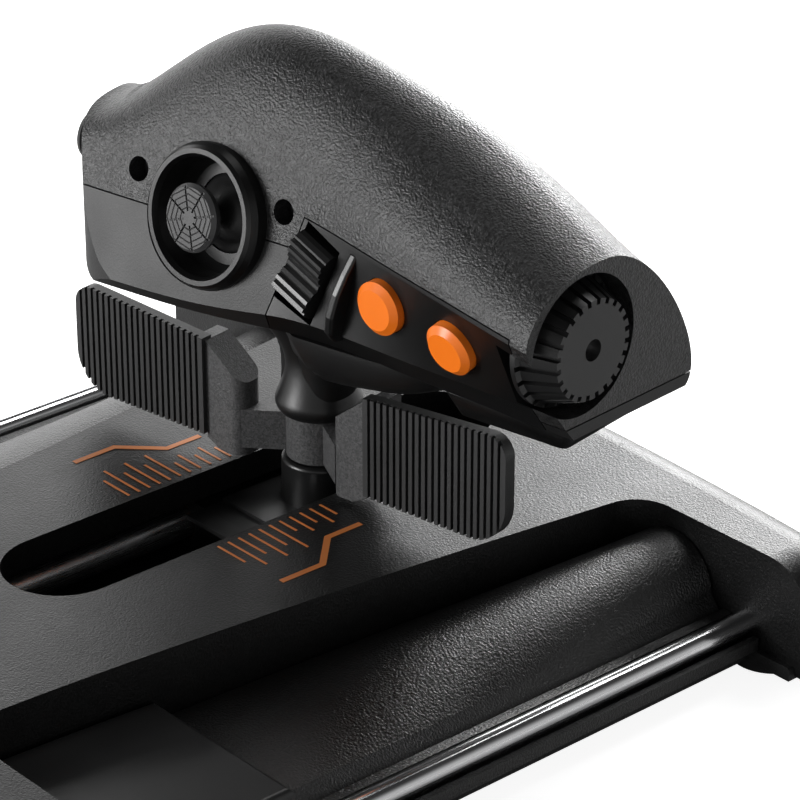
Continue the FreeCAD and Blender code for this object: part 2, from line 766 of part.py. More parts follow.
def below_part_line(lift):
    """Everything below the line where the two grip shells meet."""
    near_neck = saddle_top + lift
    points = [vec(60, -60, 0), vec(60, -60, part_line_height + lift),
              vec(panel_edge(part_line_height) - 1.6 * lift, -60, part_line_height + lift),
              vec(panel_edge(saddle_top) - 1.6 * lift, -60, near_neck), vec(-14, -60, near_neck),
              vec(-22, -60, end_part_line_height + lift),
              vec(-90, -60, end_part_line_height + lift), vec(-90, -60, 0)]
    return prism(points, vec(0, 120, 0))


def panel_edge(height):
    """Place along the grip where the panel's thumb-side edge is at a height."""
    share = (height - panel_edge_bottom[1]) / (panel_edge_top[1] - panel_edge_bottom[1])
    return panel_edge_bottom[0] + (panel_edge_top[0] - panel_edge_bottom[0]) * share


def panel_space(grow):
    """Region of the finger-side control panel, below the crown's front edge."""
    end, back = panel_end - grow, panel_back - grow
    slope = (panel_seam_start - panel_seam_end) / (panel_edge_top[0] - panel_end)
    top_start = panel_seam_start + grow + slope * grow
    top_end = panel_seam_end + grow - slope * grow
    return prism([vec(panel_edge(20) + grow, back, 20), vec(panel_edge(top_start) + grow, back, top_start),
                  vec(end, back, top_end), vec(end, back, 20)], vec(0, 40, 0))


def knob_pocket(radius):
    return at_pinky_end(rod(radius, vec(0, 0, -pocket_depth), vec(0, 0, 30)))


ring_yaw_angle = math.radians(ring_yaw)
ring_tilt_angle = math.radians(ring_tilt)
ring_axis = vec(math.sin(ring_yaw_angle) * math.cos(ring_tilt_angle),
                math.cos(ring_yaw_angle) * math.cos(ring_tilt_angle), math.sin(ring_tilt_angle))
ring_seat = vec(ring_centre_u, ring_centre_v, ring_centre_height)


def on_ring(shape):
    """Turn a shape made about +Z so that it stands on the finger face, about the small stick's axis."""
    return aim(shape, ring_seat, ring_axis)


def turned(points):
    """Solid of revolution about Z from a closed profile of (radius, height) pairs."""
    corners = [vec(r, 0, z) for r, z in points]
    return Part.Face(Part.makePolygon(corners + [corners[0]])).revolve(vec(0, 0, 0), vec(0, 0, 1), 360)


def make_stick_ring():
    ring = turned([(ring_base_radius, -6.4), (ring_base_radius, 0.4), (ring_rim_radius + 0.4, ring_stand - 0.6),
                   (ring_rim_radius - 0.1, ring_stand), (ring_rim_radius - 0.9, ring_stand),
                   (ring_inner_radius, ring_stand - 1.0), (ring_inner_radius - 0.3, -3.0),
                   (ring_inner_radius - 1.4, -5.0), (4.0, -5.0), (4.0, -6.4)])
    return ring.cut(Part.makeSphere(dome_radius + fit_gap, vec(0, 0, -stick_pivot_depth)))


def make_stick_module():
    """Fixed yoke that carries the small stick's first pair of pins."""
    low = -stick_pivot_depth - 6.0
    base = turned([(0, low), (10.6, low), (10.6, low + 1.6), (0, low + 1.6)])
    posts = [block(side * 9.9 - 1.1, side * 9.9 + 1.1, -2.6, 2.6, low + 1.6, -6.4) for side in (-1, 1)]
    module = fused([base] + posts).common(block(-12, 12, -6.5, 6.5, low - 1, 0))
    return module.cut(rod(0.8 + rod_fit, vec(-20, 0, -stick_pivot_depth), vec(20, 0, -stick_pivot_depth)))


def make_stick_gimbal():
    centre = vec(0, 0, -stick_pivot_depth)
    frame = tube(5.9, 4.5, centre + vec(0, 0, -1.2), centre + vec(0, 0, 1.2))
    pins = [rod(0.8, centre + vec(side * 5.0, 0, 0), centre + vec(side * 10.6, 0, 0)) for side in (-1, 1)]
    frame = fused([frame] + pins)
    return frame.cut(rod(0.8 + rod_fit, centre + vec(0, -9, 0), centre + vec(0, 9, 0)))


def make_mini_stick():
    centre = vec(0, 0, -stick_pivot_depth)
    dome = Part.makeSphere(dome_radius, centre).cut(Part.makeSphere(dome_radius - 0.9, centre))
    keep = dome_radius * math.cos(math.radians(dome_half_angle))
    dome = dome.common(block(-20, 20, -20, 20, centre.z + keep, 20))
    shaft = rod(1.7, centre, vec(0, 0, cap_height - 1.2))
    hub = Part.makeSphere(2.6, centre)
    pins = [rod(0.8, centre, centre + vec(0, side * 5.7, 0)) for side in (-1, 1)]
    return fused([dome, shaft, hub] + pins)


def make_stick_cap():
    top, edge = cap_height, cap_height - 0.7
    cap = turned([(0, cap_height - 1.2), (2.4, cap_height - 1.2), (2.4, cap_height - 2.6),
                  (3.2, cap_height - 2.6), (stick_cap_radius - 0.3, cap_height - 1.9),
                  (stick_cap_radius, edge), (stick_cap_radius - 0.6, top), (0, top)])
    grooves = ring_of(8, vec(0, 0, 0), vec(0, 0, 1), 12.0,
                      lambda: block(1.2, stick_cap_radius + 1, -0.18, 0.18, top - 0.35, top + 1))
    return cut_all(cap, grooves)


# ---------------------------------------------------------------------------------------------
# Finger-side controls on the panel
# ---------------------------------------------------------------------------------------------

def panel_lean(u):
    """Places and heights of the panel's knee and nose at a place along the grip."""
    nearest = [s for s in grip_stations if s[0] >= u][-1], [s for s in grip_stations if s[0] < u][0]
    low, high = nearest
    share = (u - low[0]) / (high[0] - low[0])
    return [a + (b - a) * share for a, b in list(zip(low, high))[3:7]]


def panel_point(u, height):
    knee, knee_z, nose, nose_z = panel_lean(u)
    share = (height - knee_z) / (nose_z - knee_z)
    return vec(u, knee + (nose - knee) * share, height)


def panel_normal(u, height):
    along = panel_point(u + 2, height) - panel_point(u - 2, height)
    upward = panel_point(u, height + 2) - panel_point(u, height - 2)
    normal = upward.cross(along) if upward.cross(along).y > 0 else along.cross(upward)
    return normal.normalize()


def on_panel(shape, place):
    u, height = place
    return aim(shape, panel_point(u, height), panel_normal(u, height))


def make_front_button():
    """Capped button with a bevelled face, on a stem with a flange that keeps it in."""
    cap = turned([(0, -2.5), (button_radius, -2.5), (button_radius, 1.3), (button_radius - 1.1, 2.2),
                  (0, 2.2)])
    flange = rod(button_radius + 0.6, vec(0, 0, -3.9), vec(0, 0, -2.9))
    return fused([cap, rod(button_radius, vec(0, 0, -3), vec(0, 0, -2)), flange])


def button_hole(place):
    return on_panel(rod(button_radius + 0.15, vec(0, 0, -10), vec(0, 0, 10)), place)


def button_switch(place):
    body = block(-3, 3, -3, 3, -9.0, -5.4)
    return on_panel(body.fuse(rod(1.6, vec(0, 0, -5.4), vec(0, 0, -5.2))), place)


key_centre = vec(0, 0, key_stand - key_radius)


def along_face(shape, top_place, bottom_place):
    """Place a shape whose X runs up the finger face between two places and whose Z points out."""
    top, bottom = panel_point(*top_place), panel_point(*bottom_place)
    middle = [(a + b) / 2 for a, b in zip(top_place, bottom_place)]
    turn = FreeCAD.Rotation(top - bottom, vec(0, 0, 0), panel_normal(*middle), "ZXY")
    return shape.transformed(FreeCAD.Placement((top + bottom) / 2, turn).toMatrix(), True)


def on_key(shape):
    return along_face(shape, key_top_place, key_bottom_place)


def key_height(x):
    """Height of the key's saddle-shaped face at a place along it."""
    half = key_half_height
    corners = [(-half, 0.6), (-0.72 * half, key_stand), (-0.4 * half, key_stand - 0.3), (0, 0.9),
               (0.4 * half, key_stand - 0.3), (0.72 * half, key_stand), (half, 0.8)]
    for (x0, z0), (x1, z1) in zip(corners, corners[1:]):
        if x <= x1:
            return z0 + (z1 - z0) * (x - x0) / (x1 - x0)
    return corners[-1][1]


def make_rocker_key():
    """Two-way key with a hollow middle and sharp ribs across it, on its own pin."""
    step = 2 * key_half_height / key_ribs
    face = []
    for index in range(key_ribs):
        start = -key_half_height + step * index
        for share, drop in ((0, 0.45), (0.3, 0), (0.75, 0), (1, 0.45)):
            face.append(vec(start + step * share, 0, key_height(start + step * share) - drop))
    low = key_centre.z + 2.4
    outline = [vec(-key_half_height, 0, low)] + face + [vec(key_half_height, 0, low)]
    points = [outline[0]] + [b for a, b in zip(outline, outline[1:]) if a.distanceToPoint(b) > 0.01]
    body = prism([p + vec(0, -key_half_width, 0) for p in points], vec(0, 2 * key_half_width, 0))
    hub = rod(2.4, key_centre + vec(0, -key_half_width, 0), key_centre + vec(0, key_half_width, 0))
    neck = block(-2.0, 2.0, -key_half_width, key_half_width, key_centre.z, low + 1)
    return fused([body, hub, neck]).cut(rod(1.0 + rod_fit, key_centre + vec(0, -9, 0),
                                            key_centre + vec(0, 9, 0)))


def make_guard_fin():
    """Curved fin that keeps the first button's finger off the key."""
    outline = [(7.8, -1.2), (7.8, 0.1), (4.6, 1.5), (1.2, 2.6), (-2.8, 3.0), (-6.0, 2.4), (-7.6, 0.9), (-7.8, -1.2)]
    fin = prism([vec(x, -0.8, z) for x, z in outline], vec(0, 1.6, 0))
    fin = round_edges(fin, 0.5, lambda e: e.BoundBox.YLength < 0.01 and e.BoundBox.ZMin > -0.5)
    return along_face(fin, guard_top_place, guard_bottom_place)


def make_key_bracket():
    """Fixed pin and its two ears, behind the panel."""
    low = key_centre.z - 5.0
    ears = [block(-2.4, 2.4, side * 4.9 - 0.7, side * 4.9 + 0.7, low, key_centre.z + 2.0) for side in (-1, 1)]
    base = block(-4.5, 4.5, -5.6, 5.6, low - 1.2, low)
    pin = rod(1.0, key_centre + vec(0, -5.6, 0), key_centre + vec(0, 5.6, 0))
    return fused([base, pin] + ears)


def key_pocket():
    return block(-key_half_height - 1.2, key_half_height + 1.2, -key_half_width - 0.4,
                 key_half_width + 0.4, -12, 12)


# ---------------------------------------------------------------------------------------------
# Pinky-end knob
# ---------------------------------------------------------------------------------------------


def make_knob():
    face = knob_stand
    back = face - knob_length
    body = turned([(0, back), (knob_rim_radius, back), (knob_rim_radius, back + knob_rim_thickness),
                   (knob_rim_radius - 0.8, back + knob_rim_thickness + 0.3), (knob_face_radius, face),
                   (0, face)])
    slope = math.degrees(math.atan2(knob_rim_radius - 0.8 - knob_face_radius,
                                    knob_length - knob_rim_thickness - 0.3))

    def flute():
        tool = block(0, 2.0, -0.42, 0.42, -1, knob_length + 4)
        tool.rotate(vec(0, 0, 0), vec(0, 1, 0), -slope)
        tool.translate(vec(knob_rim_radius - 1.7, 0, back + knob_rim_thickness + 0.3))
        return tool

    flutes = ring_of(knob_flutes, vec(0, 0, 0), vec(0, 0, 1), 0, flute)
    bore = rod(knob_shaft_radius, vec(0, 0, back - 1), vec(0, 0, back + 5))
    dimple = rod(1.8, vec(0, 0, back), vec(0, 0, face + 1))
    return at_pinky_end(body.cut(Part.makeCompound(flutes)).cut(bore).cut(dimple))


def make_knob_shaft():
    back = knob_stand - knob_length
    return at_pinky_end(rod(knob_shaft_radius, vec(0, 0, back - 7.6), vec(0, 0, back + 5)))


def make_knob_sensor():
    """Rotary sensor behind the knob, with the threaded bush that the shaft runs in."""
    back = -pocket_depth - grip_wall
    body = rod(5.0, vec(0, 0, back - 2.6), vec(0, 0, back))
    bush = rod(4.4, vec(0, 0, back - 1), vec(0, 0, -pocket_depth + 0.8))
    whole = fused([body, bush])
    return at_pinky_end(whole.cut(rod(knob_shaft_radius + rod_fit, vec(0, 0, back - 20), vec(0, 0, 5))))


def make_knob_cup():
    """Cup moulded behind the pocket: floor and wall that the knob turns in."""
    outer_cup = rod(pocket_radius + grip_wall, vec(0, 0, -pocket_depth - grip_wall), vec(0, 0, 30))
    cup = outer_cup.cut(rod(pocket_radius, vec(0, 0, -pocket_depth), vec(0, 0, 40)))
    return at_pinky_end(cup.cut(rod(4.4, vec(0, 0, -30), vec(0, 0, 5))))


# ---------------------------------------------------------------------------------------------
# Thumb side
# ---------------------------------------------------------------------------------------------

def on_thumb(shape, y, height):
    return aim(shape, vec(grip_thumb_end, y, height), vec(1, 0, 0))


def thumb_window(grow):
    """Rounded window in the thumb end that its face plate fills."""
    rear, front, low, high = thumb_plate
    window = block(grip_thumb_end - 8, grip_thumb_end + 1, rear - grow, front + grow, low - grow, high + grow)
    return round_edges(window, thumb_plate_radius + grow, lambda e: e.BoundBox.XLength > 8.9)


def make_thumb_plate(shell):
    plate = shell.common(thumb_window(0))
    for name, y, height, radius in hats:
        plate = plate.cut(on_thumb(rod(3.2, vec(0, 0, -9), vec(0, 0, 5)), y, height))
    y, height = thumb_button_place
    return largest(plate.cut(on_thumb(rod(thumb_button_radius + 0.15, vec(0, 0, -9), vec(0, 0, 5)), y, height)))


def make_hat_base():
    """Open housing behind the thumb plate; its wall carries the hat's first pair of pins."""
    centre = -hat_pivot_depth
    wall = tube(4.3, 3.7, vec(0, 0, centre - 3.2), vec(0, 0, -grip_wall))
    floor = rod(4.3, vec(0, 0, centre - 4.0), vec(0, 0, centre - 3.2))
    housing = fused([wall, floor])
    return housing.cut(rod(0.5 + rod_fit, vec(-9, 0, centre), vec(9, 0, centre)))


def make_hat_cross():
    centre = vec(0, 0, -hat_pivot_depth)
    frame = tube(3.2, 2.3, centre + vec(0, 0, -0.8), centre + vec(0, 0, 0.8))
    pins = [rod(0.5, centre + vec(side * 2.6, 0, 0), centre + vec(side * 4.3, 0, 0)) for side in (-1, 1)]
    return fused([frame] + pins).cut(rod(0.5 + rod_fit, centre + vec(0, -5, 0), centre + vec(0, 5, 0)))


def make_hat(radius):
    """Cap with raised rim, stem, hub and the second pair of pins."""
    centre = vec(0, 0, -hat_pivot_depth)
    cap = turned([(0, 1.7), (radius - 1.0, 2.0), (radius, 2.8), (radius - 0.3, 3.6), (radius - 1.0, 3.9),
                  (radius - 2.0, 3.4), (0, 3.8)])
    stem = rod(1.1, centre, vec(0, 0, 2.4))
    hub = Part.makeSphere(1.8, centre)
    pins = [rod(0.5, centre, centre + vec(0, side * 3.1, 0)) for side in (-1, 1)]
    return fused([cap, stem, hub] + pins)


def make_thumb_button():
    cap = turned([(0, -2.0), (thumb_button_radius, -2.0), (thumb_button_radius, 0.9),
                  (thumb_button_radius - 0.7, 1.5), (0, 1.5)])
    stem = rod(thumb_button_radius, vec(0, 0, -4.0), vec(0, 0, -1.9))
    flange = rod(thumb_button_radius + 0.5, vec(0, 0, -4.8), vec(0, 0, -3.9))
    return fused([cap, stem, flange])


def make_thumb_switch():
    return block(-2.6, 2.6, -2.6, 2.6, -9.0, -6.2).fuse(rod(1.2, vec(0, 0, -6.2), vec(0, 0, -5.9)))


# ---------------------------------------------------------------------------------------------
# Grip shells and what is fixed inside them
# ---------------------------------------------------------------------------------------------

screw_wells = ((24.2, 53.8), (-6.2, 53.8))      # finger-face screws, along the grip and height


def well(radius, deep, place):
    u, height = place
    face_y = ring_centre_v + (ring_centre_height - height) * math.tan(ring_tilt_angle)
    return aim(rod(radius, vec(0, 0, -deep), vec(0, 0, 6)), vec(u, face_y, height), ring_axis_level)


ring_axis_level = vec(0, math.cos(ring_tilt_angle), math.sin(ring_tilt_angle))


def make_grip_screws():
    screws = []
    for place in screw_wells:
        head = well(1.9, 6.0, place).common(well(3.0, 10.0, place))
        screws.append(head.cut(well(5.0, 4.4, place)).fuse(well(0.9, 9.0, place).cut(well(5.0, 4.4, place))))
    return Part.makeCompound(screws)


def grip_parts():
    outer = grip_form(0)
    inner = grip_form(grip_wall)
    cup = make_knob_cup().common(outer)
    shell = outer.cut(inner).fuse(cup).removeSplitter()
    posts = [aim(rod(3.0, vec(0, 0, -9.0), vec(0, 0, 0)), well_face(place), ring_axis_level)
             for place in screw_wells]
    shell = shell.fuse([post.common(outer) for post in posts]).removeSplitter()
    openings = [knob_pocket(pocket_radius), on_ring(rod(ring_base_radius, vec(0, 0, -9), vec(0, 0, 9))),
                at_pinky_end(rod(4.4, vec(0, 0, -30), vec(0, 0, 5)))]
    openings += [well(2.1, 6.0, place) for place in screw_wells]
    openings += [well(0.9, 9.5, place) for place in screw_wells]
    shell = cut_all(shell, openings)
    plate = make_thumb_plate(shell)
    shell = shell.cut(thumb_window(0.1)).cut(on_key(key_pocket()))
    holes = [button_hole(place) for place in front_buttons]
    tube_way = rod(neck_radius, vec(0, 0, 0), vec(0, 0, 60))
    upper = largest(shell.cut(below_part_line(seam_gap / 2)).cut(panel_space(seam_gap)))
    lower = largest(shell.common(below_part_line(-seam_gap / 2)).cut(panel_space(seam_gap)).cut(tube_way))
    panel = largest(cut_all(shell.common(panel_space(0)).fuse(make_guard_fin()), holes))
    return outer, inner, upper, lower, panel, plate


def well_face(place):
    u, height = place
    return vec(u, ring_centre_v + (ring_centre_height - height) * math.tan(ring_tilt_angle), height)


def make_grip_board():
    low = underside + 3.4
    return block(-48, -13, -8, 5, low, low + board_thickness)


# ---------------------------------------------------------------------------------------------
# Write every piece
# ---------------------------------------------------------------------------------------------

def save_pair(name, right):
    save(name + "_right", right)
    save(name + "_left", mirrored(right))


save("base_top_cover", make_base_top_cover())
save("bottom_plate", make_bottom_plate())
save_pair("side_tray", make_side_tray())
save_pair("front_shelf", make_front_shelf())
save_pair("side_rod", make_side_rod())
clips = [rod_clip(y) for y in (recess_rear - cover_wall - 2.5, recess_front + cover_wall + 2.5)]
save("side_rod_clips", Part.makeCompound(clips + [mirrored(clip) for clip in clips]))
save_pair("guide_rod", make_guide_rod(1))
save("rod_saddle_rear", make_rod_saddle(guide_rear + 2.5))
save("rod_saddle_front", make_rod_saddle(guide_front - 2.5))
save("main_circuit_board", make_main_board())
save("usb_socket", make_socket(usb_socket_x, 6.0, 5.6, 4.4, 4.0, True))
save("pedal_socket", make_socket(jack_socket_x, 7.0, 6.8, 4.9, 3.6, False))
save("slide_sensor", make_slide_sensor())
save("brake_strip", make_brake_strip())
save("tension_screw", make_tension_screw())
save("ballast_bars", make_ballast())
save("rubber_feet", make_rubber_feet())
save("threaded_inserts", make_threaded_inserts())
save("case_screws", make_case_screws())

save("carriage_block", make_carriage_block())
save("slide_bushings", make_slide_bushings())
save("slot_cover", make_slot_cover())
save("neck_flange", make_neck_flange())
save("neck_tube", make_neck_tube())
save("neck_nut", make_neck_nut())
save("paddle_carrier", make_paddle_carrier())
pad = make_pad()
save("paddle_pad_right", on_paddle(pad))
save("paddle_pad_left", on_paddle(mirrored(pad)))

outer, inner, upper, lower, panel, plate = grip_parts()
save("neck_saddle", in_handle(make_neck_saddle().cut(outer)))
save("grip_upper_shell", in_handle(upper))
save("grip_lower_shell", in_handle(lower))
save("control_panel", in_handle(panel))
save("grip_screws", in_handle(make_grip_screws()))
save("grip_circuit_board", in_handle(make_grip_board()))
save("stick_ring", in_handle(on_ring(make_stick_ring())))
save("stick_module", in_handle(on_ring(make_stick_module())))
save("stick_gimbal", in_handle(on_ring(make_stick_gimbal())))
save("mini_stick", in_handle(on_ring(make_mini_stick())))
save("stick_cap", in_handle(on_ring(make_stick_cap())))
save("rocker_key", in_handle(on_key(make_rocker_key())))
save("rocker_bracket", in_handle(on_key(make_key_bracket())))
for name, place in zip(("inner", "outer"), front_buttons):
    save("front_button_" + name, in_handle(on_panel(make_front_button(), place)))
switches = [button_switch(place) for place in front_buttons]
switches.append(on_thumb(make_thumb_switch(), *thumb_button_place))
save("button_switches", in_handle(Part.makeCompound(switches)))
save("antenna_knob", in_handle(make_knob()))
save("knob_shaft", in_handle(make_knob_shaft()))
save("knob_sensor", in_handle(make_knob_sensor()))
save("thumb_plate", in_handle(plate))
save("thumb_button", in_handle(on_thumb(make_thumb_button(), *thumb_button_place)))
bases = []
for name, y, height, radius in hats:
    save("hat_" + name, in_handle(on_thumb(make_hat(radius), y, height)))
    save("hat_" + name + "_cross", in_handle(on_thumb(make_hat_cross(), y, height)))
    bases.append(on_thumb(make_hat_base(), y, height))
save("hat_bases", in_handle(Part.makeCompound([base.common(inner) for base in bases])))
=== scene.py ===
import math
import bmesh
import bpy
from mathutils import Matrix, Vector


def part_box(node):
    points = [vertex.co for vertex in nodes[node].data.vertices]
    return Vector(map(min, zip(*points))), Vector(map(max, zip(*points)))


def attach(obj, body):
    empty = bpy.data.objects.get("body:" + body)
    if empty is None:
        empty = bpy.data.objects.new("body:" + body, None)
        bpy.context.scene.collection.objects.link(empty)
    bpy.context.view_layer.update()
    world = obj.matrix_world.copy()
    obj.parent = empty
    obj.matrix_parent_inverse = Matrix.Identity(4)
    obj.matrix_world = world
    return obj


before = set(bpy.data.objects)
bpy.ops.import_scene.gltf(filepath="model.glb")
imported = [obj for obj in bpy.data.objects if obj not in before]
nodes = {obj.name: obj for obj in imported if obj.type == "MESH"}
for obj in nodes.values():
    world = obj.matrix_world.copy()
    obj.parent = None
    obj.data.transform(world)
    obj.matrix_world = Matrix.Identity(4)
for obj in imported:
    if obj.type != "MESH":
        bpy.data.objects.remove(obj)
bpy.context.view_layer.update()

# ---------------------------------------------------------------------------------------------
# Places, in metres, from the frame
# ---------------------------------------------------------------------------------------------

mm = 0.001
deck_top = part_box("base_top_cover")[1].z
neck_low, neck_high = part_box("neck_tube")
neck = (neck_low + neck_high) / 2
grip_yaw = math.radians(12.5)          # the grip is turned this much about the neck


# ---------------------------------------------------------------------------------------------
# Materials
# ---------------------------------------------------------------------------------------------

noise_low, noise_high = 0.3, 0.7       # nearly all of a noise texture lies between these
cool_tint = 1.02                       # the greys are this much stronger in blue than neutral


def grey(level):
    """Linear colour of a slightly cool grey, from its 8-bit display level by the sRGB curve."""
    share = level / 255
    linear = share / 12.92 if share <= 0.04045 else ((share + 0.055) / 1.055) ** 2.4
    return (linear, linear, linear * cool_tint, 1.0)


class Recipe:
    """A node material with short helpers to add and join its nodes."""

    def __init__(self, name):
        self.material = bpy.data.materials.new(name)
        self.material.use_nodes = True
        self.tree = self.material.node_tree
        self.shader = self.tree.nodes["Principled BSDF"]
        self.coordinates = self.tree.nodes.new("ShaderNodeTexCoord").outputs["Object"]

    def node(self, kind, **settings):
        made = self.tree.nodes.new(kind)
        for key, value in settings.items():
            if hasattr(made, key):
                setattr(made, key, value)
            else:
                made.inputs[key].default_value = value
        return made

    def join(self, output, target):
        self.tree.links.new(output, target)

    def feed(self, socket, output):
        """Join an output to one of the shader's sockets."""
        self.join(output, self.shader.inputs[socket])

    def noise(self, size, detail=2.0, stretch=None):
        """Noise whose features are about this many metres across."""
        made = self.node("ShaderNodeTexNoise", Scale=1 / size, Detail=detail)
        source = self.coordinates
        if stretch:
            mapping = self.node("ShaderNodeMapping", Scale=stretch)
            self.join(source, mapping.inputs["Vector"])
            source = mapping.outputs["Vector"]
        self.join(source, made.inputs["Vector"])
        return made.outputs["Fac"]

    def cells(self, size, output):
        """Voronoi cells about this many metres across, as their Distance or their Color."""
        made = self.node("ShaderNodeTexVoronoi", Scale=1 / size)
        self.join(self.coordinates, made.inputs["Vector"])
        return made.outputs[output]

    def ramp(self, source, low, high, first, last):
        """The source's stretch from low to high, mapped to first to last."""
        made = self.node("ShaderNodeMapRange")
        for key, value in (("From Min", low), ("From Max", high), ("To Min", first), ("To Max", last)):
            made.inputs[key].default_value = value
        self.join(source, made.inputs["Value"])
        return made.outputs["Result"]

    def blend_colour(self, share, first, last):
        made = self.node("ShaderNodeMix", data_type="RGBA")
        made.inputs[6].default_value = first
        made.inputs[7].default_value = last
        self.join(share, made.inputs[0])
        return made.outputs[2]

    def bump(self, heights, depth):
        """Stack height fields, finest last, into one bumped normal."""
        below = None
        for height, strength in heights:
            made = self.node("ShaderNodeBump", Strength=strength, Distance=depth)
            self.join(height, made.inputs["Height"])
            if below:
                self.join(below, made.inputs["Normal"])
            below = made.outputs["Normal"]
        self.feed("Normal", below)


def scaled(colour, factor):
    return tuple(channel * factor for channel in colour[:3]) + (1.0,)


def moulded(name, colour, rough, grain, relief, variation=0.06, specular=0.5, sparkle=0.0):
    """Moulded plastic with a spark-eroded grain of light and dark flecks, and slight handling marks.

    relief is how strongly the grain stands out, variation how far the tone drifts from patch to
    patch, and sparkle how far single flecks differ from each other.
    """
    patch, fleck_relief, grain_depth = 14 * mm, 0.3, 0.6
    made = Recipe(name)
    made.shader.inputs["Specular IOR Level"].default_value = specular
    fine, broad = made.noise(grain, 2.0), made.noise(patch, 3.0)
    cells = made.cells(grain, "Color")
    fleck = made.node("ShaderNodeSeparateColor")
    made.join(cells, fleck.inputs[0])
    tone = made.ramp(broad, noise_low, noise_high, 1 - variation, 1 + variation)
    flecks = made.ramp(fleck.outputs[0], 0.0, 1.0, 1 - sparkle, 1 + sparkle)
    level = made.node("ShaderNodeMath", operation="MULTIPLY")
    made.join(tone, level.inputs[0])
    made.join(flecks, level.inputs[1])
    # Blending black into twice the colour, by half the level, is the colour times the level.
    share = made.ramp(level.outputs[0], 0.0, 2.0, 0.0, 1.0)
    made.feed("Base Color", made.blend_colour(share, scaled(colour, 0.0), scaled(colour, 2.0)))
    made.feed("Roughness", made.ramp(broad, noise_low, noise_high, rough - 0.03, rough + 0.04))
    made.bump([(fleck.outputs[1], relief * fleck_relief), (fine, relief)], grain * grain_depth)
    return made.material


def rubbery(name, colour, rough=0.72):
    """Matte rubber or felt, a little uneven in tone."""
    patch, grain, grain_depth = 9 * mm, 0.25 * mm, 0.05 * mm
    made = Recipe(name)
    soft, fine = made.noise(patch, 3.0), made.noise(grain, 2.0)
    made.feed("Base Color", made.blend_colour(soft, scaled(colour, 0.85), scaled(colour, 1.2)))
    made.feed("Roughness", made.ramp(soft, noise_low, noise_high, rough - 0.06, rough + 0.06))
    made.bump([(fine, 0.25)], grain_depth)
    return made.material


def metal(name, colour, rough, stretch=(1, 1, 1), strength=0.1):
    """Ground, turned or plain metal; a stretch under 1 draws its fine lines out along that axis."""
    line_width, patch, line_depth = 0.12 * mm, 12 * mm, 0.01 * mm
    made = Recipe(name)
    made.shader.inputs["Metallic"].default_value = 1.0
    lines, broad = made.noise(line_width, 2.0, stretch), made.noise(patch, 2.0)
    made.feed("Base Color", made.blend_colour(broad, scaled(colour, 0.9), colour))
    made.feed("Roughness", made.ramp(lines, noise_low, noise_high, rough, rough + 0.12))
    made.bump([(lines, strength)], line_depth)
    return made.material


def board_material():
    """Green solder mask with lighter patches, as over copper."""
    patch, edge_start, edge_end, step = 2.4 * mm, 0.25, 0.3, 0.03 * mm
    lighter, darker = (0.02, 0.13, 0.05, 1), (0.012, 0.07, 0.03, 1)
    made = Recipe("solder_mask")
    edge = made.ramp(made.cells(patch, "Distance"), edge_start, edge_end, 0.0, 1.0)
    made.feed("Base Color", made.blend_colour(edge, lighter, darker))
    made.shader.inputs["Roughness"].default_value = 0.3
    made.bump([(edge, 0.3)], step)
    return made.material


orange_tone = (0.95, 0.2, 0.012, 1.0)
print_tone = (0.62, 0.2, 0.05, 1.0)

